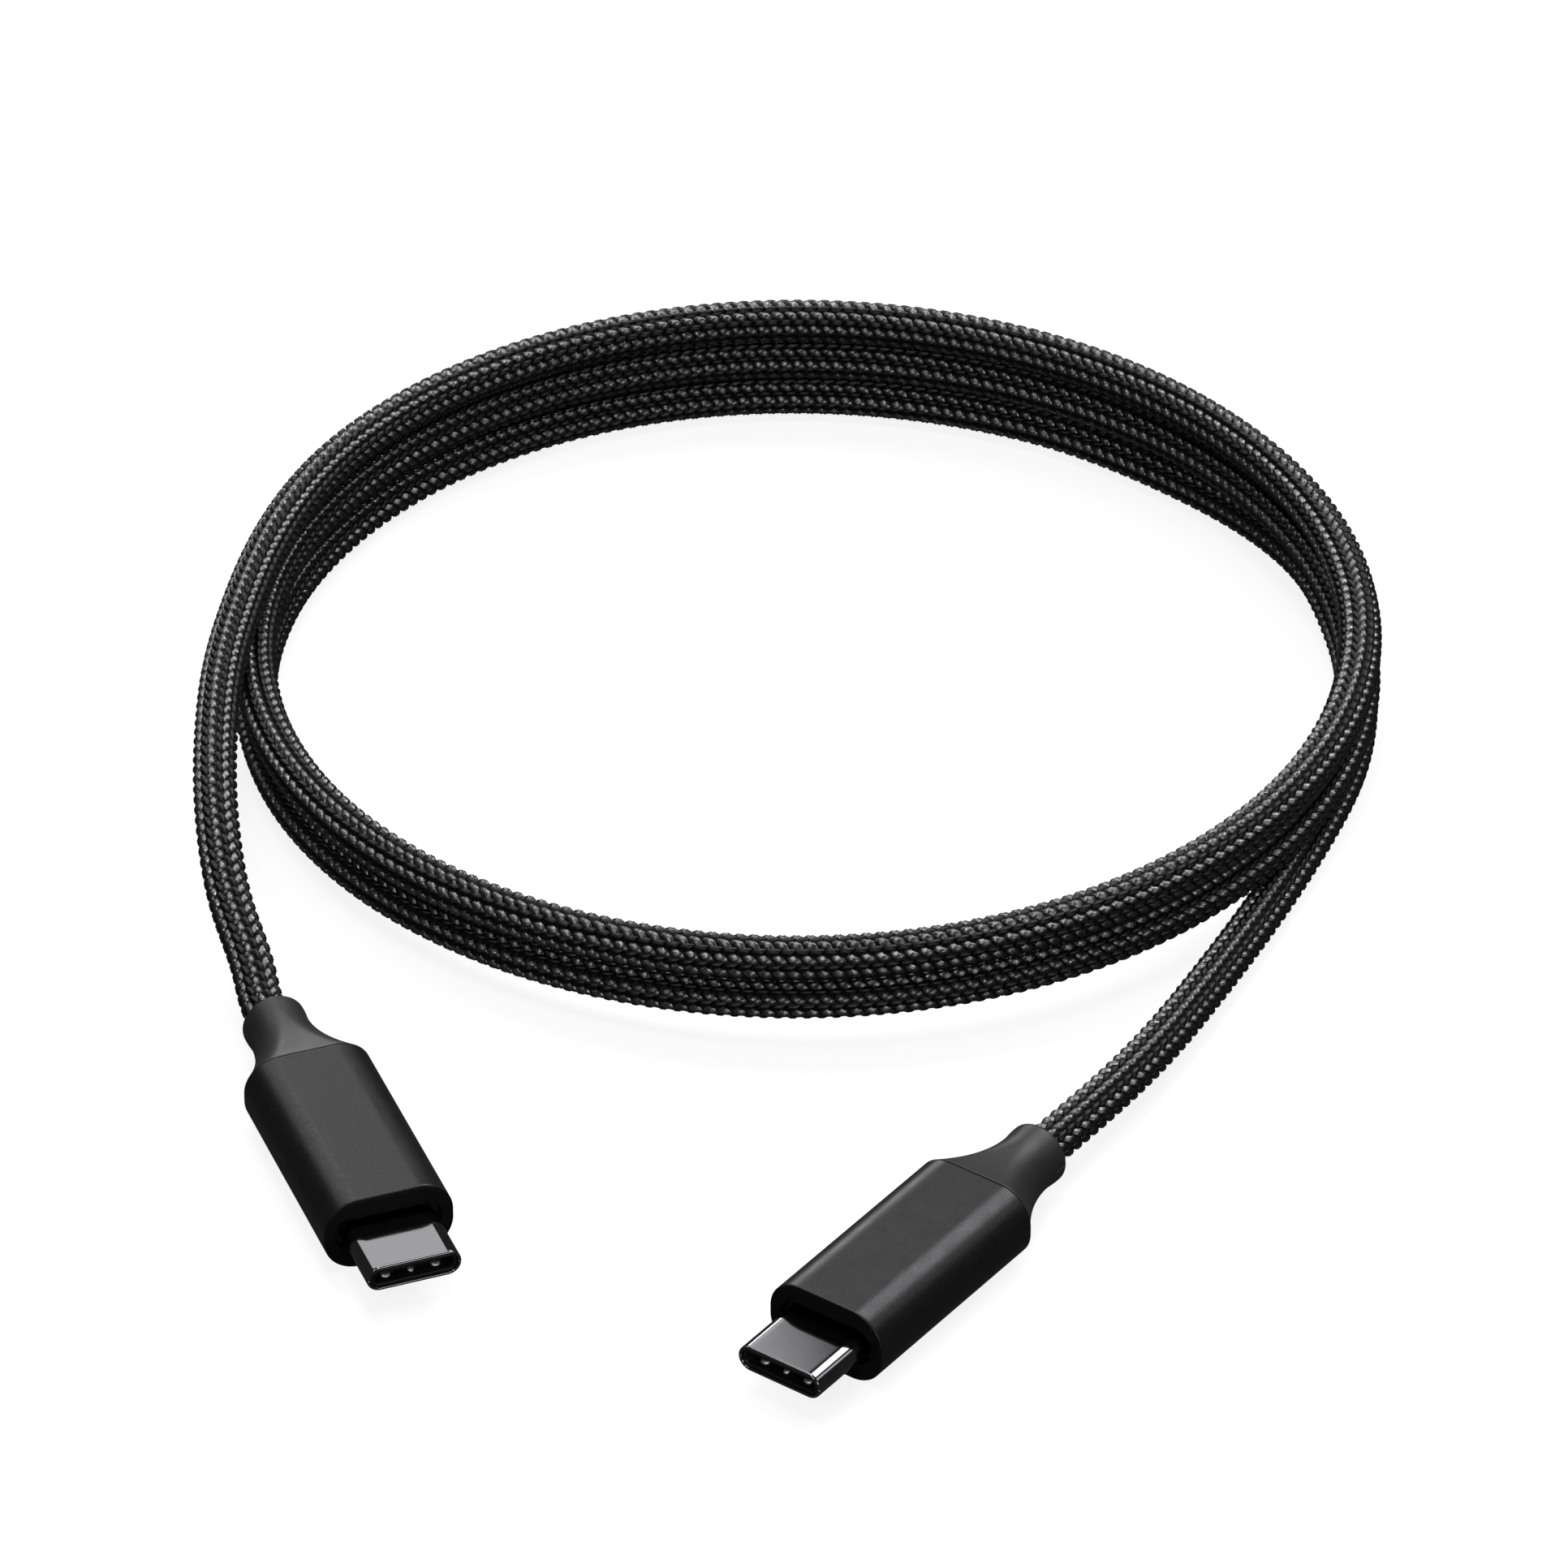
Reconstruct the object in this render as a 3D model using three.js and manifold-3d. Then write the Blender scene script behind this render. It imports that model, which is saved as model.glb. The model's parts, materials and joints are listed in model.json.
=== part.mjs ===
// Braided charging cable with a reversible plug on each end, coiled for storage.
// Units are millimetres, +Z is up, and the cable lies on the plane z = 0.
import * as THREE from 'three';
import { mergeVertices } from 'three/addons/utils/BufferGeometryUtils.js';
import Module from 'manifold-3d';

const wasm = await Module();
wasm.setup();

// ---- driving dimensions -------------------------------------------------

// Where each plug lies: the middle of its open mouth, and how far it is turned about +Z.
const PLUGS = [
  { name: 'left_plug', mouth: [-19.15, -9.75], turn: 20.6 },
  { name: 'right_plug', mouth: [10.8, -23.2], turn: -36.2 },
];

const CORD_D = 4.0; // over the braid
const COIL = { x: 13.2, y: 76.0, radius: 48.75, layers: 3, slack: 0.25 };

// Hand-laid ends of the cord, from the coil to the plug, as [x, y, z].
const LEFT_TAIL = [
  [-38.2, 60.5, 9.92], [-38.05, 52.0, 9.0], [-37.4, 45.0, 7.6], [-36.05, 38.0, 5.9],
  [-34.0, 31.0, 4.3], [-33.1, 27.8, 3.7], [-32.25, 25.1, 3.45],
];
const RIGHT_TAIL = [
  [50.0, 37.1, 2.2], [47.2, 31.0, 2.5], [43.0, 22.4, 3.0],
  [38.6, 15.0, 3.35], [34.6, 9.3, 3.45], [32.8, 6.85, 3.45],
];

// Outside sections: width, height, corner radius.
const HOUSING = { w: 11.3, h: 6.9, r: 3.05 };
const SHELL = { w: 8.25, h: 2.4, r: 1.2 };

// Stations along a plug, measured back from its mouth.
const HOUSING_FRONT = 6.5;
const HOUSING_REAR = 27.5;
const SHELL_REAR = 13.8;
const PLUG_REAR = 36.9;

const HOUSING_WALL = 0.6;
const RIM_LIP = 0.2; // what is left of the wall in front of the bezel's seat
const BEZEL_THICK = 0.65;
const SHELL_WALL = 0.3;
const NECK_R = 2.72; // slimmest part of the strain relief
const COLLAR_R = 2.8;
const FIT = 0.05; // clearance all round between pieces that slide together
const SEAM = 0.1; // gap between end faces
const CORD_GAP = 0.3; // gap between the cord and the plug's end face

// Mouth of the plug.
const CAVITY = { w: 6.9, h: 1.14, r: 0.3 };
const TONGUE_DEPTH = 7.0; // from the mouth to the contact carriers
const CONTACTS = { count: 12, pitch: 0.5, w: 0.25, t: 0.12, z: 0.36, front: 2.2, rear: 6.9 };
const LATCH = { x: 3.02, t: 0.15, h: 0.5, front: 2.3, rear: 6.7, hook: 0.3, hookLength: 0.5 };
const PADS = [
  { x: -2.18, w: 0.86 }, { x: 0, w: 0.57 }, { x: 2.18, w: 0.86 },
];

// ---- finishes -----------------------------------------------------------

const finish = (color, roughness, metalness) => ({ color, roughness, metalness });
const FINISH = {
  braid: finish(0x1b1b1c, 0.7, 0),
  anodised: finish(0x2c2c2e, 0.45, 0.9),
  blackNickel: finish(0x1a1a1c, 0.15, 1),
  softMould: finish(0x333335, 0.5, 0),
  blackPlastic: finish(0x0b0b0c, 0.45, 0),
  spring: finish(0xc9c6c0, 0.25, 1),
  gold: finish(0xd2a64a, 0.3, 1),
  board: finish(0x14422c, 0.5, 0),
  tin: finish(0xa8a9ab, 0.35, 1),
  copper: finish(0xb8683a, 0.35, 1),
};

// ---- helpers ------------------------------------------------------------

// A closed geometry as a solid that can be joined and cut.
function solid(geometry) {
  const bare = geometry.clone();
  for (const key of Object.keys(bare.attributes)) {
    if (key !== 'position') bare.deleteAttribute(key);
  }
  const welded = mergeVertices(bare, 1e-5);
  return new wasm.Manifold(new wasm.Mesh({
    numProp: 3,
    vertProperties: new Float32Array(welded.attributes.position.array),
    triVerts: new Uint32Array(welded.index.array),
  }));
}

function geometryOf(body) {
  const mesh = body.getMesh();
  const geometry = new THREE.BufferGeometry();
  geometry.setAttribute('position', new THREE.BufferAttribute(mesh.vertProperties, 3));
  geometry.setIndex(new THREE.BufferAttribute(mesh.triVerts, 1));
  geometry.computeVertexNormals();
  return geometry;
}

const cut = (base, ...tools) => geometryOf(
  tools.reduce((body, tool) => body.subtract(solid(tool)), solid(base)));
const join = (base, ...more) => geometryOf(
  more.reduce((body, other) => body.add(solid(other)), solid(base)));

// Outline of a rounded rectangle round the middle, counter-clockwise.
function outline({ w, h, r }, cornerSteps = 5) {
  const points = [];
  const corners = [[1, 1], [-1, 1], [-1, -1], [1, -1]];
  corners.forEach(([sx, sz], quarter) => {
    for (let i = 0; i <= cornerSteps; i += 1) {
      const a = (quarter + i / cornerSteps) * Math.PI / 2;
      points.push(new THREE.Vector2(
        sx * (w / 2 - r) + r * Math.cos(a), sz * (h / 2 - r) + r * Math.sin(a)));
    }
  });
  return points;
}

// A section that is the same all the way from front to rear, run along +Y.
function bar(section, front, rear, cornerSteps = 5) {
  const shape = new THREE.Shape(outline(section, cornerSteps));
  const geometry = new THREE.ExtrudeGeometry(shape, {
    depth: rear - front, bevelEnabled: false, steps: 1,
  });
  geometry.rotateX(Math.PI / 2);
  geometry.translate(0, rear, 0);
  return geometry;
}

function box(x0, x1, y0, y1, z0, z1) {
  const geometry = new THREE.BoxGeometry(x1 - x0, y1 - y0, z1 - z0);
  geometry.translate((x0 + x1) / 2, (y0 + y1) / 2, (z0 + z1) / 2);
  return geometry;
}

function rod(radius, front, rear, sides = 20) {
  const geometry = new THREE.CylinderGeometry(radius, radius, rear - front, sides);
  geometry.translate(0, (front + rear) / 2, 0);
  return geometry;
}

// The same section, larger by `by` on every side, or smaller when it is negative.
const grow = ({ w, h, r }, by) => ({ w: w + 2 * by, h: h + 2 * by, r: Math.max(r + by, 0.02) });

const tube = (section, wall, front, rear) => cut(
  bar(section, front, rear), bar(grow(section, -wall), front - 1, rear + 1));

// Sections at rising stations along +Y, skinned into one closed body.
function loft(stations) {
  const rings = stations.map(({ y, section }) => outline(section)
    .map((p) => new THREE.Vector3(p.x, y, p.y)));
  const n = rings[0].length;
  const positions = rings.flat().flatMap((p) => [p.x, p.y, p.z]);
  const index = [];
  for (let k = 0; k + 1 < rings.length; k += 1) {
    for (let i = 0; i < n; i += 1) {
      const a = k * n + i;
      const b = k * n + (i + 1) % n;
      index.push(a, a + n, b, b, a + n, b + n);
    }
  }
  const last = (rings.length - 1) * n;
  for (let i = 1; i + 1 < n; i += 1) {
    index.push(0, i, i + 1, last, last + i + 1, last + i);
  }
  const geometry = new THREE.BufferGeometry();
  geometry.setAttribute('position', new THREE.Float32BufferAttribute(positions, 3));
  geometry.setIndex(index);
  geometry.computeVertexNormals();
  return geometry;
}

// ---- sub-parts of a plug -------------------------------------------------

// Drawn metal shell that goes into the socket.
const shell = () => tube(SHELL, SHELL_WALL, 0, SHELL_REAR);

// Insulator that lines the shell, with a window for each ground-spring pad.
function contactHousing() {
  const outer = grow(SHELL, -(SHELL_WALL + FIT));
  const front = 0.35;
  const rear = 8.8;
  const tools = [bar(CAVITY, front - 1, rear + 1, 3)];
  for (const side of [-1, 1]) {
    const [z0, z1] = side < 0 ? [-outer.h, -0.69] : [0.69, outer.h];
    tools.push(box(-2.9, 2.9, 0.8, 2.7, z0, z1));
    for (const pad of PADS) {
      const half = pad.w / 2 + FIT;
      tools.push(box(pad.x - half, pad.x + half, 0.9, 1.7, Math.min(0, side), Math.max(0, side)));
    }
  }
  return cut(bar(outer, front, rear), ...tools);
}

// Stamped strip behind the insulator's wall, with three pads that touch the socket.
function groundSpring(side) {
  const span = (near, far) => (side > 0 ? [near, far] : [-far, -near]);
  const [stripLow, stripHigh] = span(0.74, 0.82);
  const [padLow, padHigh] = span(0.47, 0.78);
  const pads = PADS.map(({ x, w }) => box(x - w / 2, x + w / 2, 1.0, 1.6, padLow, padHigh));
  return join(box(-2.75, 2.75, 0.95, 2.5, stripLow, stripHigh), ...pads);
}

// A row of spring contacts on one side of the tongue's slot.
function contactRow(side) {
  const { count, pitch, w, t, z, front, rear } = CONTACTS;
  const low = side * z - t / 2;
  const half = (count - 1) * pitch / 2;
  const root = 0.3;
  const tines = Array.from({ length: count }, (_, i) => {
    const x = i * pitch - half;
    return box(x - w / 2, x + w / 2, front, rear - root / 2, low, low + t);
  });
  return join(box(-half - w, half + w, rear - root, rear, low, low + t), ...tines);
}

// Moulded bar that holds one row of contacts.
function contactCarrier(side) {
  const [z0, z1] = side > 0 ? [0.1, 0.52] : [-0.52, -0.1];
  return box(-3.1, 3.1, TONGUE_DEPTH, 12.4, z0, z1);
}

const midPlate = () => box(-3.15, 3.15, TONGUE_DEPTH, 12.4, -FIT, FIT);

// Side arm that snaps into the socket tongue's notch; `side` is its side of the plug.
function latch(side) {
  const { x, t, h, front, rear, hook, hookLength } = LATCH;
  const inner = x;
  const outer = x + t;
  const tip = x - hook;
  const shape = new THREE.Shape();
  shape.moveTo(side * outer, front);
  shape.lineTo(side * outer, rear);
  shape.lineTo(side * inner, rear);
  shape.lineTo(side * inner, front + hookLength);
  shape.lineTo(side * tip, front + hookLength * 0.6);
  shape.lineTo(side * (inner - hook * 0.3), front);
  shape.closePath();
  const geometry = new THREE.ExtrudeGeometry(shape, { depth: h, bevelEnabled: false });
  geometry.translate(0, 0, -h / 2);
  return geometry;
}

const paddleBoard = () => box(-3.6, 3.6, 12.6, 20.0, -0.4, 0.4);
const markerChip = () => box(-1.0, 1.0, 14.8, 16.8, 0.45, 1.05);

// Stripped wires, fanned out on the board's rear pads.
function conductors() {
  const count = 5;
  const pitch = 1.1;
  const wires = Array.from({ length: count }, (_, i) => {
    const x = (i - (count - 1) / 2) * pitch;
    return box(x - 0.25, x + 0.25, 18.2, 20.6, 0.45, 0.9);
  });
  return join(box(-2.45, 2.45, 20.2, 20.6, 0.45, 0.9), ...wires);
}

const shieldCan = () => tube({ w: 9.2, h: 3.2, r: 0.8 }, 0.2, 14.0, 20.5);

// Front frame that grips the shell inside the housing.
const bore = grow(HOUSING, -HOUSING_WALL);
const frontFrame = () => cut(
  bar(grow(bore, -FIT), HOUSING_FRONT + BEZEL_THICK + SEAM, SHELL_REAR),
  bar(grow(SHELL, FIT), 0, SHELL_REAR + 1));

// Face plate, with an opening a little wider than the shell.
function frontBezel() {
  const rear = HOUSING_FRONT + BEZEL_THICK;
  return cut(
    bar(grow(HOUSING, -(RIM_LIP + FIT)), HOUSING_FRONT, rear),
    bar({ w: 9.3, h: 3.4, r: 1.65 }, 0, rear + 1));
}

// Aluminium sleeve: bored through, with a seat for the face plate behind a thin rim.
function housing() {
  return cut(
    bar(HOUSING, HOUSING_FRONT, HOUSING_REAR, 8),
    bar(bore, HOUSING_FRONT - 1, HOUSING_REAR + 1),
    bar(grow(HOUSING, -RIM_LIP), HOUSING_FRONT - 1, HOUSING_FRONT + BEZEL_THICK + FIT));
}

// Inner moulding that locks the cable's end into the housing.
const innerMould = () => cut(
  bar(grow(bore, -FIT), 20.7, HOUSING_REAR - SEAM), rod(2.25, 20.0, HOUSING_REAR + 1));

const crimpFerrule = () => cut(rod(2.2, 21.4, 26.4), rod(1.8, 20, 28));
const cableJacket = () => rod(1.75, 20.9, PLUG_REAR - CORD_GAP);

// Moulded strain relief: the housing's section draws in to a round collar.
function strainRelief() {
  const flareEnd = 35.0;
  const front = HOUSING_REAR + FIT;
  const steps = 8;
  const stations = [];
  for (let i = 0; i <= steps; i += 1) {
    const u = i / steps;
    const f = (1 - u) ** 2;
    const half = NECK_R + (HOUSING.h / 2 - NECK_R) * f;
    const cornerFlat = (HOUSING.h / 2 - HOUSING.r) * f;
    stations.push({
      y: front + (flareEnd - front) * u,
      section: {
        w: 2 * (NECK_R + (HOUSING.w / 2 - NECK_R) * f), h: 2 * half, r: half - cornerFlat,
      },
    });
  }
  const rings = [[PLUG_REAR - 0.9, COLLAR_R], [PLUG_REAR - 0.4, COLLAR_R], [PLUG_REAR, COLLAR_R - 0.35]];
  for (const [y, r] of rings) stations.push({ y, section: { w: 2 * r, h: 2 * r, r: r - 1e-3 } });
  return cut(loft(stations), rod(2.05, HOUSING_REAR - 1, PLUG_REAR + 1));
}

// ---- cord ----------------------------------------------------------------

// Round cord along hand-laid points, one step every two diameters.
function cordTail(points) {
  const path = new THREE.CatmullRomCurve3(points.map((p) => new THREE.Vector3(...p)));
  const section = new THREE.Shape();
  const sides = 12;
  for (let i = 0; i < sides; i += 1) {
    const a = i / sides * 2 * Math.PI;
    const x = CORD_D / 2 * Math.cos(a);
    const y = CORD_D / 2 * Math.sin(a);
    if (i === 0) section.moveTo(x, y);
    else section.lineTo(x, y);
  }
  section.closePath();
  const steps = Math.ceil(path.getLength() / (2 * CORD_D));
  return new THREE.ExtrudeGeometry(section, { steps, bevelEnabled: false, extrudePath: path });
}

// Outer shape of the coiled turns, which stack on each other.
function coilRing() {
  const half = CORD_D / 2 + COIL.slack;
  const inner = COIL.radius - half;
  const outer = COIL.radius + half;
  const top = COIL.layers * CORD_D;
  const chamfer = CORD_D / 4;
  const profile = [
    [inner, chamfer], [inner + chamfer, 0], [outer - chamfer, 0], [outer, chamfer],
    [outer, top - chamfer], [outer - chamfer, top], [inner + chamfer, top], [inner, top - chamfer],
    [inner, chamfer],
  ].map(([x, y]) => new THREE.Vector2(x, y));
  const geometry = new THREE.LatheGeometry(profile, 64);
  geometry.rotateX(Math.PI / 2);
  geometry.translate(COIL.x, COIL.y, 0);
  return geometry;
}

// ---- assembly -------------------------------------------------------------

function mesh(name, geometry, look) {
  const piece = new THREE.Mesh(geometry, new THREE.MeshStandardMaterial({ ...look }));
  piece.name = name;
  return piece;
}

function plug({ name, mouth, turn }) {
  const group = new THREE.Group();
  const add = (part, geometry, look) => group.add(mesh(`${name}_${part}`, geometry, look));
  add('shell', shell(), FINISH.blackNickel);
  add('contact_housing', contactHousing(), FINISH.blackPlastic);
  for (const [label, side] of [['upper', 1], ['lower', -1]]) {
    add(`${label}_contacts`, contactRow(side), FINISH.gold);
    add(`${label}_contact_carrier`, contactCarrier(side), FINISH.blackPlastic);
    add(`${label}_ground_spring`, groundSpring(side), FINISH.spring);
  }
  add('mid_plate', midPlate(), FINISH.tin);
  add('left_latch', latch(-1), FINISH.spring);
  add('right_latch', latch(1), FINISH.spring);
  add('paddle_board', paddleBoard(), FINISH.board);
  add('marker_chip', markerChip(), FINISH.blackPlastic);
  add('conductors', conductors(), FINISH.copper);
  add('shield_can', shieldCan(), FINISH.tin);
  add('front_frame', frontFrame(), FINISH.blackPlastic);
  add('front_bezel', frontBezel(), FINISH.blackPlastic);
  add('housing', housing(), FINISH.anodised);
  add('inner_mould', innerMould(), FINISH.blackPlastic);
  add('crimp_ferrule', crimpFerrule(), FINISH.copper);
  add('cable_jacket', cableJacket(), FINISH.blackPlastic);
  add('strain_relief', strainRelief(), FINISH.softMould);
  group.position.set(mouth[0], mouth[1], HOUSING.h / 2);
  group.rotation.z = THREE.MathUtils.degToRad(turn);
  return group;
}

const cable = new THREE.Group();
cable.name = 'charging_cable';
for (const end of PLUGS) cable.add(plug(end));
cable.add(mesh('coil', coilRing(), FINISH.braid));
cable.add(mesh('left_tail', cordTail(LEFT_TAIL), FINISH.braid));
cable.add(mesh('right_tail', cordTail(RIGHT_TAIL), FINISH.braid));

export default cable;
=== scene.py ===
"""Looks for the coiled charging cable: a real braid of yarns, and two finely made plugs."""
import json
import math
import bpy
import numpy as np
from mathutils import Matrix, Vector


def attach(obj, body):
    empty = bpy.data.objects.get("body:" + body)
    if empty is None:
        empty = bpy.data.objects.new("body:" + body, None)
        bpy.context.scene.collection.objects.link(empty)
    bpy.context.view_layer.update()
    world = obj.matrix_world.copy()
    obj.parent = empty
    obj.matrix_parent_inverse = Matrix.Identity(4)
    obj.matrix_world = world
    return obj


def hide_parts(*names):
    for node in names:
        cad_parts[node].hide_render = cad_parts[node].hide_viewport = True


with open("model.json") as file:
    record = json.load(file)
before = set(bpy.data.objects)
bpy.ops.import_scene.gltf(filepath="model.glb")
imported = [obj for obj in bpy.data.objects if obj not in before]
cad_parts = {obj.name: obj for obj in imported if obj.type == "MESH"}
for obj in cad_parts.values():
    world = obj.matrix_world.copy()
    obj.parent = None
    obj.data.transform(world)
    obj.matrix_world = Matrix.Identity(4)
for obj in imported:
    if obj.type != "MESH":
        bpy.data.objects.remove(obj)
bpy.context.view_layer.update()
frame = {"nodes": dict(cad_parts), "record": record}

MM = 0.001

# ---- driving dimensions, in millimetres ------------------------------------------------

CORD_D = 4.0
CORD_R = CORD_D / 2

# The coil: a slightly oval spiral whose turns stack on each other.
COIL_CENTRE = (13.2, 76.0)
COIL_RADIUS = 48.58
COIL_OVAL = (0.26, -0.54)  # how far the radius grows with cos and sin of twice the angle
COIL_FROM, COIL_TO = -0.05, 2.16  # in turns from the back, rising anticlockwise
COIL_STEPS_PER_TURN = 24
CLIMB_EASE = 0.2  # each turn climbs mostly at the front, and lies nearly level at the back

# The cord's two ends, from the coil to the plug.
LEFT_TAIL = [
    (-35.4, 84.0, 10.1), (-36.9, 76.0, 10.1), (-37.9, 68.0, 10.1), (-38.2, 60.0, 9.9),
    (-38.05, 52.0, 9.0), (-37.4, 45.0, 7.6), (-36.05, 38.0, 5.9), (-34.0, 31.0, 4.3),
]
RIGHT_TAIL = [
    (36.4, 118.2, 2.0), (46.2, 111.2, 2.0), (53.6, 103.9, 2.0), (58.7, 95.7, 2.0),
    (60.9, 87.7, 2.0), (62.0, 79.7, 2.0), (61.8, 71.7, 2.0), (60.5, 63.7, 2.0),
    (57.9, 55.7, 2.0), (54.7, 47.7, 2.0), (51.1, 39.5, 2.12), (47.2, 31.0, 2.5),
    (43.0, 22.4, 3.0), (38.6, 15.0, 3.35), (34.6, 9.3, 3.45),
]

# The braid: seven fat yarns each way, one over and one under.
YARNS_EACH_WAY = 7
PITCH = 1.22  # from one yarn to the next, along the cord
LEAD = PITCH * YARNS_EACH_WAY  # length in which a yarn goes once round the cord
RINGS_PER_FLOAT = 4
RING_STEP = PITCH / 2 / RINGS_PER_FLOAT
YARN_W = 0.82
YARN_CROWN = 0.36
YARN_WAVE = 0.27
YARN_LIFT = 0.06  # the yarns with the painted glint ride higher, so their floats are longer
YARN_BASE = CORD_R - YARN_CROWN - YARN_WAVE - YARN_LIFT
YARN_SECTION = (-0.5, -0.42, -0.17, 0.17, 0.42, 0.5)  # points across it, as shares of its width
YARN_TWIST = math.radians(-14)  # the lean of the filaments in a yarn
YARN_UV_STEP = 10  # sets the yarns apart in the braid's own UV map
UNGLINTED_WAY = -1  # the yarns that run this way get no painted glint, so they look duller than the others
UNGLINTED_OFFSET = 1000  # added to the U of the yarns without the painted glint, which marks them
GLINT_BELOW = 800  # more than the U of any yarn with the painted glint, and less than any other yarn's

# The dark core under the yarns.
CORE_R = 1.1
CORE_SIDES = 20
CORE_EVERY = 4  # stations of the cord from one ring of the core to the next

# Plug sections, as width, height and corner radius.
HOUSING = (11.3, 6.9, 3.05)
SHELL = (8.25, 2.4, 1.2)
CAVITY = (6.9, 1.14, 0.3)
OPENING = (9.3, 3.4, 1.65)

# Stations along a plug, back from its mouth.
LINING_FRONT = 0.14  # the contact housing, which lines the shell
LINING_REAR = 8.8
HOUSING_FRONT = 6.5
SHELL_END = 13.0
HOUSING_REAR = 27.5
FLARE_END = 35.0
PLUG_REAR = 36.9

# A plug's walls, neck and collar, and how the cord sits in the collar.
SHELL_WALL = 0.3
BEZEL_THICK = 0.65
NECK_R = 2.72
COLLAR_R = 2.8
COLLAR_LENGTH = 0.9
COLLAR_BEND = 0.36  # radius of the collar's rounded rear edge
CORD_HOLE_R = 2.05
CORD_IN_COLLAR = 0.9
LEFT_LEAD = 4.0  # the cord starts along the left plug's axis for this far
SEAM = 0.05  # the gap between the housing and the neck

# Ground-spring pads in the mouth, as centre and width, with the crest's distance back.
PADS = [(-2.18, 0.86), (0.0, 0.57), (2.18, 0.86)]
PAD_CREST = 1.3
PAD_LENGTH = 0.5
PAD_TAPER = 0.1  # the share of a layer's set-back that is taken off each of its sides
PAD_ROUND = 0.6  # 1 makes a pad's front an ellipse, and less makes it squarer

# A pad's layers from its foot in the wall to its crest: how far each is from the middle, and
# how far its front is set back.
PAD_LAYERS = [
    (0.60, 0.0), (0.56, 0.0), (0.51, 0.05), (0.45, 0.12), (0.39, 0.21), (0.37, 0.27),
    (0.365, 0.3),
]

# The strip that lies in the wall behind the pads: half its width, its ends and its faces.
STRIP_HALF = 2.75
STRIP_Y = (0.95, 2.5)
STRIP_Z = (0.74, 0.82)

# ---- camera ----------------------------------------------------------------------------

CAMERA_AT = (11.23, -720.74, 554.82)
CAMERA_PITCH = 35.24
LENS = 250.9
SENSOR = 36
FAR_CLIP = 20


def make_camera():
    """The scene's camera, which looks along +Y and down."""
    data = bpy.data.cameras.new("camera")
    data.lens = LENS
    data.sensor_width = SENSOR
    data.clip_end = FAR_CLIP
    camera = bpy.data.objects.new("camera", data)
    camera.location = Vector(CAMERA_AT) * MM
    camera.rotation_euler = (math.radians(90 - CAMERA_PITCH), 0, 0)
    bpy.context.scene.collection.objects.link(camera)
    bpy.context.scene.camera = camera


make_camera()

# ---- plug frames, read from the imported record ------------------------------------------

PLUG_NAMES = ("left_plug", "right_plug")
mounts = {m["name"]: m for m in frame["record"]["mounts"]}


def plug_frame(name):
    """A plug's own frame: +Y back from the mouth, +Z up, with its origin in the mouth."""
    mount = mounts[name.split("_")[0] + "_mating_face"]
    out = Vector(mount["axis"]).normalized()
    origin = Vector(mount["pos_m"]) + out * HOUSING_FRONT * MM
    origin.z = HOUSING[1] / 2 * MM
    back = -out
    right = back.cross(Vector((0, 0, 1)))
    turn = Matrix((right, back, Vector((0, 0, 1)))).transposed()
    return Matrix.Translation(origin) @ turn.to_4x4()


PLUG_FRAME = {name: plug_frame(name) for name in PLUG_NAMES}


def on_plug(name, x, y, z):
    """A point in a plug's frame, in millimetres, as a point in the shared frame, in millimetres."""
    return tuple(PLUG_FRAME[name] @ (Vector((x, y, z)) * MM) / MM)


# ---- materials -------------------------------------------------------------------------


class Nodes:
    """A small helper for building one material's node tree."""

    MIX_INPUTS = (0, 6, 7)  # a mix node's factor and its two colours
    MIX_OUTPUT = 2

    def __init__(self, name, colour, roughness, metallic=0.0, **sockets):
        self.material = bpy.data.materials.new(name)
        self.material.use_nodes = True
        self.material.diffuse_color = (*colour, 1)
        self.tree = self.material.node_tree
        self.shader = self.tree.nodes["Principled BSDF"]
        self.set("Base Color", (*colour, 1))
        self.set("Roughness", roughness)
        self.set("Metallic", metallic)
        for socket, value in sockets.items():
            self.set(socket.replace("_", " "), value)

    def set(self, socket, value):
        self.shader.inputs[socket].default_value = value

    def add(self, kind, inputs=None, **settings):
        node = self.tree.nodes.new(kind)
        for key, value in settings.items():
            setattr(node, key, value)
        for key, value in (inputs or {}).items():
            if isinstance(value, bpy.types.NodeSocket):
                self.tree.links.new(value, node.inputs[key])
            else:
                node.inputs[key].default_value = value
        return node

    def link(self, output, socket):
        self.tree.links.new(output, self.shader.inputs[socket])

    def object_point(self):
        return self.add("ShaderNodeTexCoord").outputs["Object"]

    def noise(self, vector, feature_mm, detail):
        scale = 1 / (feature_mm * MM)
        return self.add("ShaderNodeTexNoise", {
            "Vector": vector, "Scale": scale, "Detail": detail}).outputs["Fac"]

    def remap(self, value, low, high, to_low, to_high):
        return self.add("ShaderNodeMapRange", {
            "Value": value, "From Min": low, "From Max": high,
            "To Min": to_low, "To Max": to_high}).outputs["Result"]

    def mix(self, value, low, high):
        """A colour from low to high as value goes from 0 to 1; low may be another output."""
        node = self.tree.nodes.new("ShaderNodeMix")
        node.data_type = "RGBA"
        factor, a, b = (node.inputs[i] for i in self.MIX_INPUTS)
        self.tree.links.new(value, factor)
        if isinstance(low, bpy.types.NodeSocket):
            self.tree.links.new(low, a)
        else:
            a.default_value = (*low, 1)
        b.default_value = (*high, 1)
        return node.outputs[self.MIX_OUTPUT]

    def bump(self, height, depth_mm, strength=1.0, normal=None):
        inputs = {"Height": height, "Distance": depth_mm * MM, "Strength": strength}
        if normal is not None:
            inputs["Normal"] = normal
        return self.add("ShaderNodeBump", inputs).outputs["Normal"]


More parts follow.
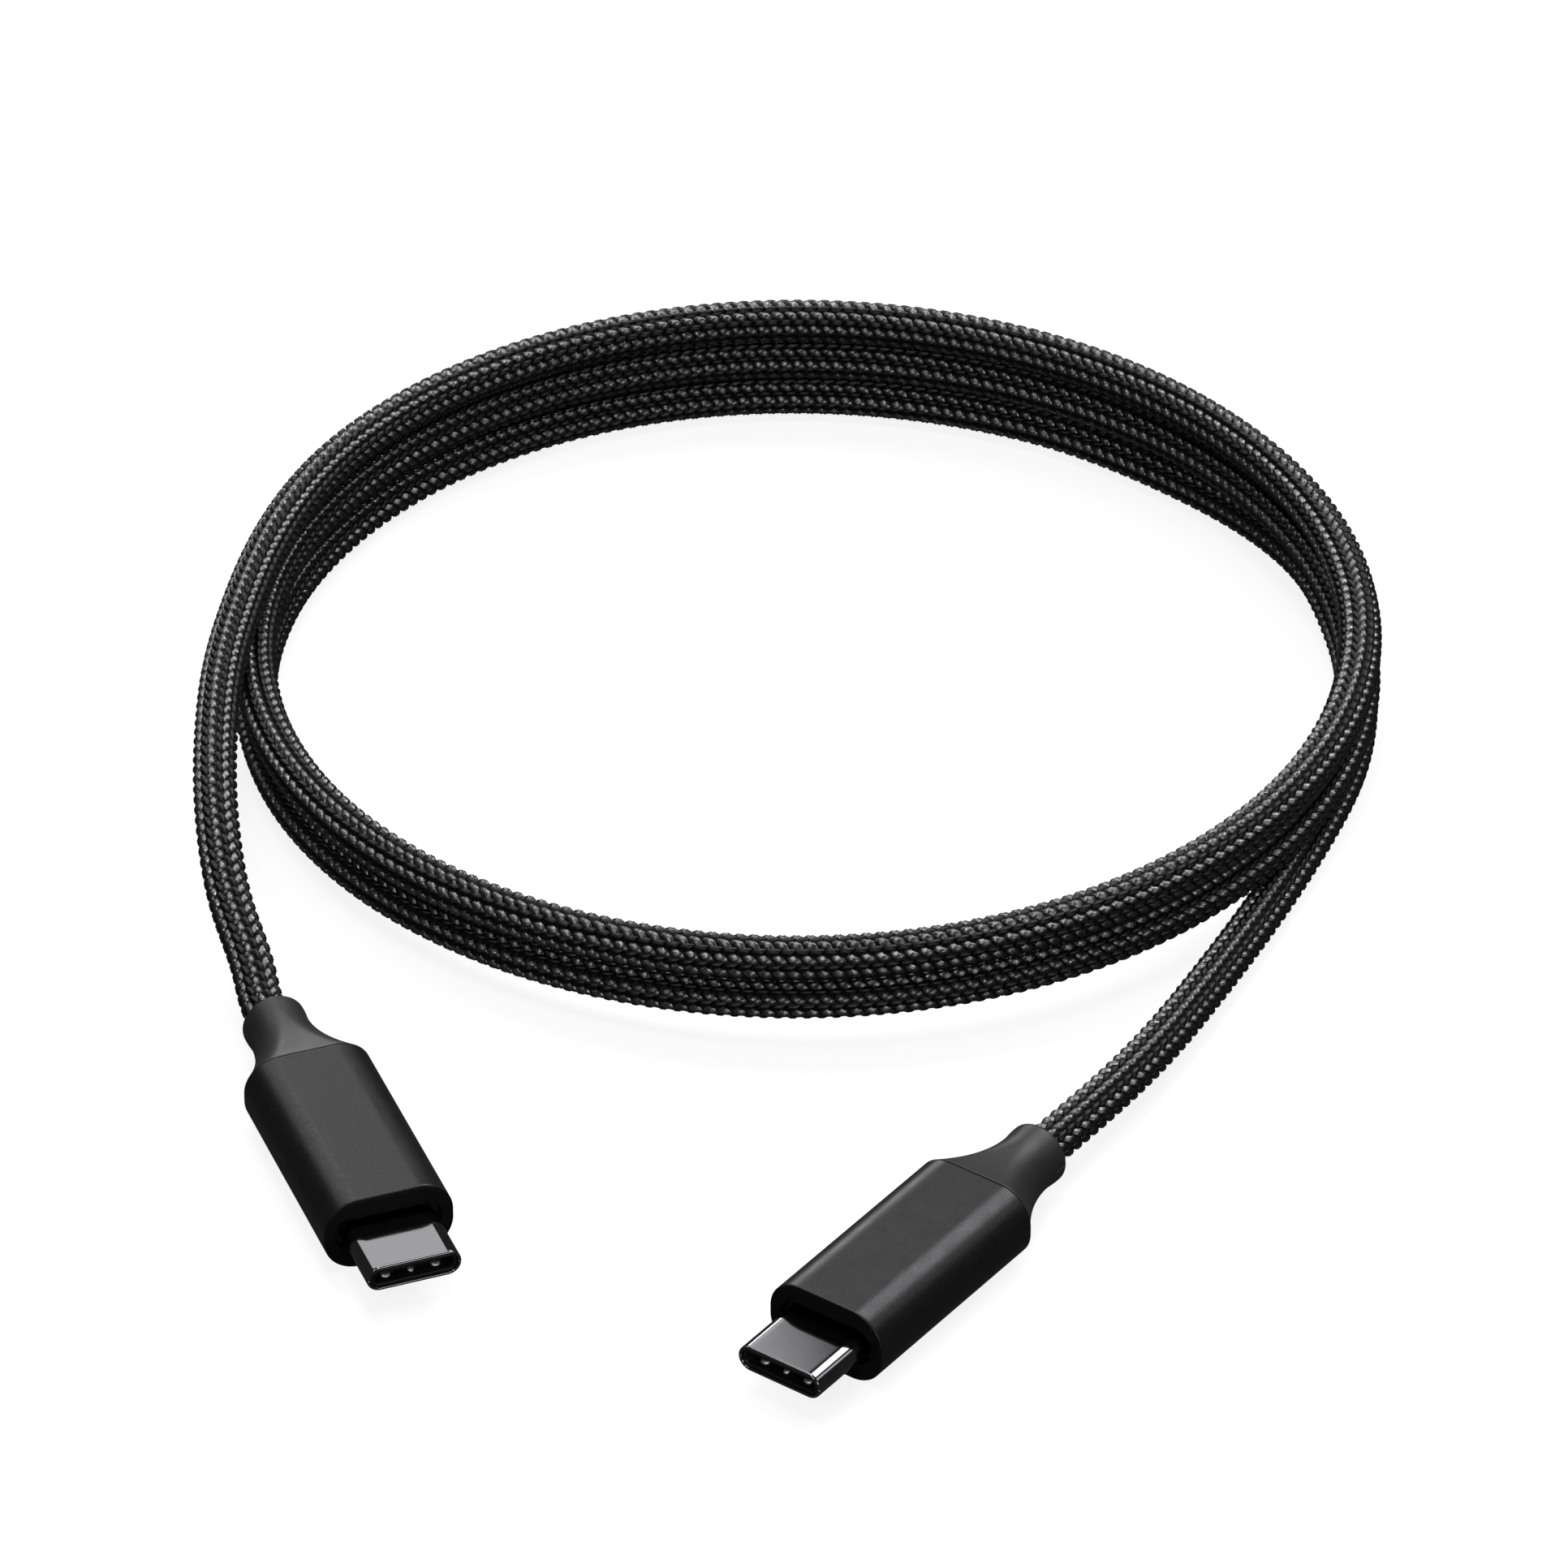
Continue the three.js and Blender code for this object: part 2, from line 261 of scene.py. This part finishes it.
def grained(name, colour, roughness, metallic=0.0, grain_mm=0.12, depth_mm=0.004,
            vary=0.15, rough_vary=0.06, **sockets):
    """A material with a fine grain in its colour and surface, and broad patches of gloss."""
    m = Nodes(name, colour, roughness, metallic, **sockets)
    point = m.object_point()
    fine = m.noise(point, grain_mm, 3)
    broad = m.noise(point, grain_mm * 14, 2)
    dark = [c * (1 - vary) for c in colour]
    light = [min(1, c * (1 + vary)) for c in colour]
    smooth, rough = roughness - rough_vary, roughness + rough_vary
    m.link(m.mix(fine, dark, light), "Base Color")
    m.link(m.remap(broad, 0.3, 0.7, smooth, rough), "Roughness")
    m.link(m.bump(fine, depth_mm, 0.5), "Normal")
    return m.material


def anodised_material():
    """Bead-blasted, dark anodised aluminium, with sparse pale flecks."""
    base = (0.045, 0.045, 0.047)
    m = Nodes("anodised_aluminium", base, 0.36, 0.85)
    point = m.object_point()
    pits = m.noise(point, 0.09, 3)
    cloud = m.noise(point, 1.6, 2)
    flecks = m.remap(m.noise(point, 0.05, 0), 0.72, 0.8, 0, 1)
    toned = m.mix(pits, (0.036, 0.036, 0.038), (0.056, 0.056, 0.058))
    m.link(m.mix(flecks, toned, (0.2, 0.2, 0.2)), "Base Color")
    m.link(m.remap(cloud, 0.3, 0.7, 0.33, 0.39), "Roughness")
    m.link(m.bump(pits, 0.004, 0.45), "Normal")
    return m.material


def braid_material():
    """Black yarn, each a bundle of fine filaments.

    The yarns of one way carry a painted glint: they are shaded as a dark brushed metal with a grey
    colour, which stands in for silk's glint where light falls on them, while the other way stays
    black.
    """
    m = Nodes("nylon_braid", (0.002, 0.002, 0.002), 0.25, 0.0, IOR=1.45, Anisotropic=0.8)
    yarn = m.add("ShaderNodeUVMap", uv_map="yarn").outputs["UV"]
    tangent = m.add("ShaderNodeTangent", direction_type="UV_MAP", uv_map="yarn")
    m.link(tangent.outputs["Tangent"], "Tangent")
    filaments = m.add("ShaderNodeTexWave", {
        "Vector": yarn, "Scale": 2.9, "Distortion": 1.6, "Detail": 2, "Detail Scale": 2.5},
        bands_direction="X").outputs["Fac"]
    stretched = m.add("ShaderNodeMapping", {
        "Vector": yarn, "Scale": (16, 1.6, 1)}).outputs["Vector"]
    loose = m.add("ShaderNodeTexNoise", {
        "Vector": stretched, "Scale": 1.0, "Detail": 3, "Roughness": 0.6}).outputs["Fac"]
    patch = m.noise(m.object_point(), 0.9, 1)
    # Painted glint: the yarns of one way get metal and a grey colour, so they read lit and the
    # others read shaded.
    painted_glint_mask = m.remap(
        m.add("ShaderNodeSeparateXYZ", {"Vector": yarn}).outputs["X"],
        GLINT_BELOW, GLINT_BELOW + 1, 1, 0)
    painted_glint_level = m.remap(loose, 0.32, 0.68, 0.05, 0.36)
    black = 0.003
    painted_glint = m.add("ShaderNodeMath", {0: painted_glint_mask, 1: painted_glint_level}, operation="MULTIPLY")
    level = m.add("ShaderNodeMath", {0: painted_glint.outputs["Value"], 1: black})
    m.link(level.outputs["Value"], "Base Color")
    m.link(painted_glint_mask, "Metallic")
    m.link(m.remap(patch, 0.3, 0.7, 0.24, 0.36), "Roughness")
    m.link(m.bump(loose, 0.014, 1.0, m.bump(filaments, 0.010, 1.0)), "Normal")
    return m.material


MATERIALS = {
    "anodised_aluminium": anodised_material(),
    "nylon_braid": braid_material(),
    "black_nickel": grained(
        "black_nickel", (0.22, 0.22, 0.23), 0.09, 1.0, 0.3, 0.0004, 0.04, 0.02),
    "soft_mould": grained("soft_mould", (0.03, 0.03, 0.032), 0.42, 0.0, 0.07, 0.004, 0.1, 0.03),
    "face_plate": grained(
        "face_plate", (0.004, 0.004, 0.004), 0.6, 0.0, 0.1, 0.003, IOR=1.3),
    "black_plastic": grained("black_plastic", (0.008, 0.008, 0.009), 0.4, 0.0, 0.15, 0.002),
    "spring_steel": grained("spring_steel", (0.9, 0.89, 0.87), 0.48, 1.0, 0.08, 0.0008, 0.04),
    "gold": grained("gold", (0.83, 0.62, 0.26), 0.28, 1.0, 0.1, 0.0008, 0.08),
    "tin_plate": grained("tin_plate", (0.6, 0.6, 0.61), 0.35, 1.0, 0.25, 0.001, 0.08),
    "circuit_board": grained(
        "circuit_board", (0.02, 0.12, 0.06), 0.35, 0.0, 0.5, 0.004, 0.3),
    "copper": grained("copper", (0.72, 0.36, 0.2), 0.32, 1.0, 0.12, 0.001, 0.12),
    "cable_jacket": grained("cable_jacket", (0.01, 0.01, 0.011), 0.5, 0.0, 0.2, 0.003),
}

for entry in frame["record"]["subparts"]:
    node = frame["nodes"][entry["node"]]
    node.data.materials.clear()
    node.data.materials.append(MATERIALS[entry["material_slot"]])

# ---- mesh helpers ----------------------------------------------------------------------


def new_piece(name, mesh, slot):
    """A finely made piece. All of them ride on the root body, the cable."""
    mesh.materials.append(MATERIALS[slot])
    piece = bpy.data.objects.new(name, mesh)
    bpy.context.scene.collection.objects.link(piece)
    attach(piece, "cable")
    return piece


def mesh_of(name, points, faces):
    """A smooth-shaded mesh of points in millimetres."""
    mesh = bpy.data.meshes.new(name)
    mesh.from_pydata((np.asarray(points) * MM).tolist(), [], faces)
    mesh.polygons.foreach_set("use_smooth", [True] * len(mesh.polygons))
    mesh.update()
    return mesh


# ---- the cord --------------------------------------------------------------------------


def coil_point(turns):
    """A point of the coil, counted in turns from its lowest point at the back."""
    angle = 2 * math.pi * turns + math.pi / 2
    radius = (COIL_RADIUS + COIL_OVAL[0] * math.cos(2 * angle)
              + COIL_OVAL[1] * math.sin(2 * angle))
    climb = turns - CLIMB_EASE * math.sin(2 * math.pi * turns)
    return (
        COIL_CENTRE[0] + radius * math.cos(angle),
        COIL_CENTRE[1] + radius * math.sin(angle),
        CORD_R + CORD_D * max(0.0, climb),
    )


def cord_route():
    """The cord's route from inside the left plug's collar to inside the right one's."""
    def collar(name, back=0):
        return on_plug(name, 0, PLUG_REAR - CORD_IN_COLLAR + back, 0)

    steps = round((COIL_TO - COIL_FROM) * COIL_STEPS_PER_TURN)
    turns = np.linspace(COIL_TO, COIL_FROM, steps + 1)
    return [
        collar("left_plug"),
        collar("left_plug", LEFT_LEAD),
        *reversed(LEFT_TAIL),
        *[coil_point(t) for t in turns],
        *RIGHT_TAIL,
        collar("right_plug"),
    ]


def spline(points, step, dense_step=0.05):
    """A curvature-continuous curve through the points: evenly spaced positions, and its length."""
    p = np.array(points, float)
    knots = np.concatenate([[0], np.cumsum(np.linalg.norm(np.diff(p, axis=0), axis=1))])
    h = np.diff(knots)
    n = len(p)
    system = np.zeros((n, n))
    right = np.zeros((n, 3))
    system[0, 0] = system[-1, -1] = 1
    for i in range(1, n - 1):
        system[i, i - 1:i + 2] = h[i - 1], 2 * (h[i - 1] + h[i]), h[i]
        right[i] = 6 * ((p[i + 1] - p[i]) / h[i] - (p[i] - p[i - 1]) / h[i - 1])
    bend = np.linalg.solve(system, right)

    def at(u):
        i = np.clip(np.searchsorted(knots, u, side="right") - 1, 0, n - 2)
        a = ((knots[i + 1] - u) / h[i])[:, None]
        b = 1 - a
        curve = ((a ** 3 - a) * bend[i] + (b ** 3 - b) * bend[i + 1]) * (h[i] ** 2)[:, None] / 6
        return a * p[i] + b * p[i + 1] + curve

    dense_u = np.linspace(0, knots[-1], int(knots[-1] / dense_step))
    dense = at(dense_u)
    along = np.concatenate([[0], np.cumsum(np.linalg.norm(np.diff(dense, axis=0), axis=1))])
    count = int(along[-1] / step)
    even = np.linspace(0, along[-1], count + 1)
    return np.stack([np.interp(even, along, dense[:, k]) for k in range(3)], axis=1), along[-1]


def frames_along(line):
    """Two unit vectors across the line at each position, which never twist about it."""
    tangent = np.gradient(line, axis=0)
    tangent /= np.linalg.norm(tangent, axis=1)[:, None]
    across = np.zeros_like(line)
    across[0] = np.cross(tangent[0], (0, 0, 1))
    across[0] /= np.linalg.norm(across[0])
    for i in range(1, len(line)):
        v = across[i - 1] - tangent[i] * np.dot(across[i - 1], tangent[i])
        across[i] = v / np.linalg.norm(v)
    return across, np.cross(tangent, across)


line, cord_length = spline(cord_route(), RING_STEP)
across, upward = frames_along(line)
stations = np.linspace(0, cord_length, len(line))


def at_surface(s, angle, radius):
    """Points at distances s along the cord, at an angle and radius round its centreline."""
    def along(values):
        return np.stack([np.interp(s, stations, values[:, k]) for k in range(3)], axis=-1)

    side = np.cos(angle)[..., None] * along(across) + np.sin(angle)[..., None] * along(upward)
    return along(line) + radius[..., None] * side


def yarn(way, index):
    """One yarn's points, ring by ring, and each one's place in the UV map, in millimetres."""
    lean = math.atan2(2 * math.pi * (YARN_BASE + YARN_CROWN), LEAD)
    share = np.array(YARN_SECTION)
    offset = share * YARN_W
    start = 2 * math.pi * index / YARNS_EACH_WAY
    s = stations[:, None] - way * offset[None, :] * math.sin(lean)
    angle = start + way * 2 * math.pi * stations[:, None] / LEAD
    angle = angle + offset[None, :] * math.cos(lean) / YARN_BASE
    wave = way * np.cos(YARNS_EACH_WAY * angle)
    crown = np.sqrt(1 - (2 * share) ** 2)
    lift = 0 if way == UNGLINTED_WAY else YARN_LIFT
    radius = YARN_BASE + lift + YARN_WAVE * wave + YARN_CROWN * crown[None, :]
    points = at_surface(np.clip(s, 0, cord_length), angle, radius)
    wide = np.broadcast_to(offset, s.shape)
    far = np.broadcast_to(stations[:, None] / math.cos(lean), s.shape)
    u = wide * math.cos(YARN_TWIST) - far * math.sin(YARN_TWIST) + YARN_UV_STEP * index
    if way == UNGLINTED_WAY:
        u = u + UNGLINTED_OFFSET
    v = wide * math.sin(YARN_TWIST) + far * math.cos(YARN_TWIST)
    return points, np.stack([u, v], axis=-1)


def core():
    """The core's points, ring by ring, and their place in the UV map, which doesn't matter."""
    rings = stations[::CORE_EVERY, None]
    s = np.broadcast_to(rings, (len(rings), CORE_SIDES))
    turn = np.linspace(0, 2 * math.pi, CORE_SIDES, endpoint=False)
    points = at_surface(s, np.broadcast_to(turn, s.shape), np.full(s.shape, CORE_R))
    return points, np.zeros((*s.shape, 2))


def tube_faces(rings, sides, first):
    """Quads that join each ring of a tube to the next, from its first point's number on."""
    grid = first + np.arange(rings * sides).reshape(rings, sides)
    low, high = grid[:-1], grid[1:]
    quads = np.stack([low, np.roll(low, -1, 1), np.roll(high, -1, 1), high], axis=-1)
    return quads.reshape(-1, 4)


def make_cord():
    """All the yarns over a dark core, as one piece."""
    tubes = [yarn(way, index) for way in (1, -1) for index in range(YARNS_EACH_WAY)]
    tubes.append(core())
    points, faces, uvs = [], [], []
    first = 0
    for place, uv in tubes:
        rings, sides = place.shape[:2]
        points.append(place.reshape(-1, 3))
        uvs.append(uv.reshape(-1, 2))
        faces.append(tube_faces(rings, sides, first))
        first += rings * sides
    points = np.concatenate(points) * MM
    faces = np.concatenate(faces)
    uvs = np.concatenate(uvs)
    mesh = bpy.data.meshes.new("braided_cord")
    mesh.vertices.add(len(points))
    mesh.vertices.foreach_set("co", points.ravel())
    mesh.loops.add(faces.size)
    mesh.loops.foreach_set("vertex_index", faces.ravel().astype(np.int32))
    mesh.polygons.add(len(faces))
    mesh.polygons.foreach_set("loop_start", np.arange(0, faces.size, 4, dtype=np.int32))
    mesh.polygons.foreach_set("use_smooth", np.ones(len(faces), bool))
    layer = mesh.uv_layers.new(name="yarn")
    layer.data.foreach_set("uv", uvs[faces.ravel()].ravel())
    mesh.update(calc_edges=True)
    mesh.validate()
    return new_piece("braided_cord", mesh, "nylon_braid")


cord = make_cord()
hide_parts("coil", "left_tail", "right_tail")

# ---- the plugs -------------------------------------------------------------------------


LEAST_R = 0.02  # no corner is sharper
FLAT_SUPPORTS = (0.03, 0.35, 0.65, 0.97)  # points along each flat, as shares of it


def rounded(section, inset=0.0, corner_steps=20):
    """A rounded rectangle's outline, with close supports where flats meet corners."""
    w = section[0] - 2 * inset
    h = section[1] - 2 * inset
    r = max(section[2] - inset, LEAST_R)
    flat_x, flat_z = w / 2 - r, h / 2 - r
    points = []
    corners = [(1, 1), (-1, 1), (-1, -1), (1, -1)]
    for quarter, (sx, sz) in enumerate(corners):
        for i in range(corner_steps + 1):
            a = (quarter + i / corner_steps) * math.pi / 2
            points.append((sx * flat_x + r * math.cos(a), sz * flat_z + r * math.sin(a)))
        x0, z0 = points[-1]
        nx, nz = corners[(quarter + 1) % 4]
        a = (quarter + 1) * math.pi / 2
        x1, z1 = nx * flat_x + r * math.cos(a), nz * flat_z + r * math.sin(a)
        for f in FLAT_SUPPORTS:
            points.append((x0 + (x1 - x0) * f, z0 + (z1 - z0) * f))
    return points


def skinned(name, rings):
    """A hollow body skinned over rings of (y, outline), with the last joined to the first."""
    points = [(x, y, z) for y, ring in rings for x, z in ring]
    n = len(rings[0][1])
    faces = []
    for k in range(len(rings)):
        for i in range(n):
            a, b = k * n + i, k * n + (i + 1) % n
            c, d = (b + n) % len(points), (a + n) % len(points)
            faces.append((a, d, c, b))
    return mesh_of(name, points, faces)


def plug_piece(plug, part, mesh, slot):
    """A finely made piece that stands for one of a plug's CAD nodes."""
    mesh.transform(PLUG_FRAME[plug])
    piece = new_piece(f"{plug}_{part}_finish", mesh, slot)
    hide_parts(f"{plug}_{part}")


def profile(section, steps):
    """Rings of one section, each step being a station and an inset."""
    return [(y, rounded(section, inset)) for y, inset in steps]


def housing_mesh():
    """The anodised sleeve, from the lip round the face plate to the seam at its rear."""
    front, rear = HOUSING_FRONT, HOUSING_REAR
    return skinned("housing", profile(HOUSING, [
        (front + 0.75, 0.6), (front + 0.7, 0.14), (front + 0.02, 0.14), (front, 0.13),
        (front, 0.08), (front + 0.02, 0.03), (front + 0.08, 0.0), (front + 0.2, 0.0),
        (front + 7.0, 0.0), (rear - 7.0, 0.0),
        (rear - 0.16, 0.0), (rear - 0.08, 0.0), (rear - 0.02, 0.01), (rear, 0.04),
        (rear, 0.2), (rear, 0.6), (rear - 0.2, 0.6),
    ]))


def bezel_mesh():
    """The face plate, with the opening that the shell comes out of."""
    front, thick = HOUSING_FRONT, BEZEL_THICK
    outer = [(front + thick, 0.16), (front + 0.1, 0.16), (front + 0.02, 0.16), (front, 0.18),
             (front, 0.5)]
    inner = [(front, -0.35), (front, -0.15), (front + 0.03, -0.05), (front + 0.12, 0.0),
             (front + 0.3, 0.0), (front + thick, 0.0)]
    return skinned("bezel", profile(HOUSING, outer) + profile(OPENING, inner))


def shell_mesh():
    """The metal shell, with a rolled edge at its mouth."""
    wall, end = SHELL_WALL, SHELL_END
    return skinned("shell", profile(SHELL, [
        (end, wall), (1.0, wall), (0.12, wall), (0.03, wall - 0.03), (0.0, wall - 0.09),
        (0.0, 0.14), (0.03, 0.06), (0.09, 0.02), (0.18, 0.0), (0.3, 0.0), (5.0, 0.0),
        (9.0, 0.0), (end, 0.0),
    ]))


def contact_housing_mesh():
    """The plastic block that lines the shell, with a chamfer into the tongue's cavity."""
    front, rear = LINING_FRONT, LINING_REAR
    outer = [(rear, 0.34), (rear - 0.1, 0.32), (front + 0.06, 0.32), (front, 0.36)]
    inner = [(front, -0.06), (front + 0.02, -0.03), (front + 0.12, 0.0), (front + 0.4, 0.0),
             (rear, 0.0)]
    return skinned("contact_housing", profile(SHELL, outer) + profile(CAVITY, inner))


def ground_spring_mesh(side):
    """A strip inside the wall, and three pads that come out of it, rounded at their fronts."""
    arc_steps = 12
    points, faces = [], []
    for x, width in PADS:
        first = len(points)
        for z, setback in PAD_LAYERS:
            half = width / 2 - setback * PAD_TAPER
            for i in range(arc_steps + 1):
                a = math.pi * i / arc_steps
                front = PAD_CREST - (PAD_LENGTH - setback) * math.sin(a) ** PAD_ROUND
                points.append((x + half * math.cos(a), front, side * z))
        n = arc_steps + 1
        for k in range(len(PAD_LAYERS) - 1):
            for i in range(n):
                a, b = first + k * n + i, first + k * n + (i + 1) % n
                faces.append((a, b, b + n, a + n)[::side])
        low, high = range(first, first + n), range(len(points) - n, len(points))
        faces.append(tuple(reversed(low))[::side])
        faces.append(tuple(high)[::side])
    strip = len(points)
    for x in (-STRIP_HALF, STRIP_HALF):
        for y in STRIP_Y:
            points += [(x, y, side * z) for z in STRIP_Z]
    for face in ((0, 1, 3, 2), (4, 6, 7, 5), (0, 4, 5, 1), (2, 3, 7, 6), (0, 2, 6, 4),
                 (1, 5, 7, 3)):
        faces.append(tuple(strip + i for i in face)[::side])
    return mesh_of("ground_spring", points, faces)


def relief_mesh(neck_steps=32, edge_steps=8):
    """The soft neck: it flares from a round collar to the housing, and is hollow for the cord."""
    front = HOUSING_REAR + SEAM
    rings = [(front, rounded(HOUSING, 1.2)), (front, rounded(HOUSING, 0.04))]
    for i in range(neck_steps + 1):
        u = i / neck_steps
        f = (1 - u) ** 2
        width = NECK_R + (HOUSING[0] / 2 - NECK_R) * f
        height = NECK_R + (HOUSING[1] / 2 - NECK_R) * f
        flat = (HOUSING[1] / 2 - HOUSING[2]) * f
        section = (2 * width, 2 * height, max(height - flat, LEAST_R))
        rings.append((front + (FLARE_END - front) * u, rounded(section)))
    bend = COLLAR_BEND
    ends = [(PLUG_REAR - COLLAR_LENGTH, COLLAR_R)]
    for i in range(edge_steps + 1):
        a = i / edge_steps * math.pi / 2
        ends.append((PLUG_REAR - bend + bend * math.sin(a), COLLAR_R - bend + bend * math.cos(a)))
    ends += [
        (PLUG_REAR, CORD_HOLE_R + 0.1), (PLUG_REAR - 0.05, CORD_HOLE_R + 0.01),
        (PLUG_REAR - 3.0, CORD_HOLE_R), (front + 2.0, CORD_HOLE_R),
    ]
    rings += [(y, rounded((2 * r, 2 * r, r))) for y, r in ends]
    return skinned("relief", rings)


for plug in PLUG_NAMES:
    plug_piece(plug, "housing", housing_mesh(), "anodised_aluminium")
    plug_piece(plug, "front_bezel", bezel_mesh(), "face_plate")
    plug_piece(plug, "shell", shell_mesh(), "black_nickel")
    plug_piece(plug, "contact_housing", contact_housing_mesh(), "black_plastic")
    plug_piece(plug, "lower_ground_spring", ground_spring_mesh(-1), "spring_steel")
    plug_piece(plug, "upper_ground_spring", ground_spring_mesh(1), "spring_steel")
    plug_piece(plug, "strain_relief", relief_mesh(), "soft_mould")

# ---- studio ----------------------------------------------------------------------------

SUBJECT = Vector((12, 40, 4)) * MM
LAMP_DISTANCE = 1.2
FLOOR_REACH = 12.0
FLOOR_GLOW = 0.85


def softbox(name, azimuth, elevation, width, height, radiance):
    """A rectangular lamp seen from the subject at an azimuth, where 0 is right and 90 back."""
    a, e = math.radians(azimuth), math.radians(elevation)
    away = Vector((math.cos(e) * math.cos(a), math.cos(e) * math.sin(a), math.sin(e)))
    data = bpy.data.lights.new(name, "AREA")
    data.shape = "RECTANGLE"
    data.size, data.size_y = width, height
    data.energy = radiance * width * height * math.pi
    lamp = bpy.data.objects.new(name, data)
    lamp.location = SUBJECT + away * LAMP_DISTANCE
    lamp.rotation_euler = away.to_track_quat("Z", "Y").to_euler()
    bpy.context.scene.collection.objects.link(lamp)


# Name, azimuth, elevation, width and height in metres, and radiance.
SOFTBOXES = [
    ("back_softbox", 117, 38, 0.9, 0.5, 1.5),
    ("back_top_softbox", 100, 66, 0.5, 0.3, 5.0),
    ("overhead_softbox", 200, 86, 0.3, 0.3, 8.0),
    ("right_softbox", 50, 47, 0.75, 0.4, 5.5),
    ("far_right_softbox", 5, 36, 0.3, 0.3, 1.5),
    ("front_softbox", 250, 44, 0.3, 0.4, 5.0),
    ("low_front_strip", 303, 20, 0.6, 0.4, 3.0),
    ("low_back_strip", 100, 15, 0.15, 0.35, 7.0),
]
for softbox_settings in SOFTBOXES:
    softbox(*softbox_settings)


def make_floor():
    """A glowing white floor, which neither lights the object nor shows in its reflections."""
    reach = FLOOR_REACH
    corners = [(-reach, -reach, 0), (reach, -reach, 0), (reach, reach, 0), (-reach, reach, 0)]
    mesh = bpy.data.meshes.new("floor")
    mesh.from_pydata(corners, [], [(0, 1, 2, 3)])
    floor = bpy.data.objects.new("floor", mesh)
    bpy.context.scene.collection.objects.link(floor)
    m = Nodes("floor_paper", (0.3, 0.3, 0.3), 0.9)
    m.set("Emission Color", (1, 1, 1, 1))
    m.set("Emission Strength", FLOOR_GLOW)
    m.set("Specular IOR Level", 0.0)
    mesh.materials.append(m.material)
    floor.visible_glossy = False
    floor.visible_diffuse = False


make_floor()

world = bpy.data.worlds.new("studio")
bpy.context.scene.world = world
world.use_nodes = True
world.node_tree.nodes["Background"].inputs["Color"].default_value = (0.05, 0.05, 0.05, 1)

bpy.context.scene.view_settings.view_transform = "Standard"
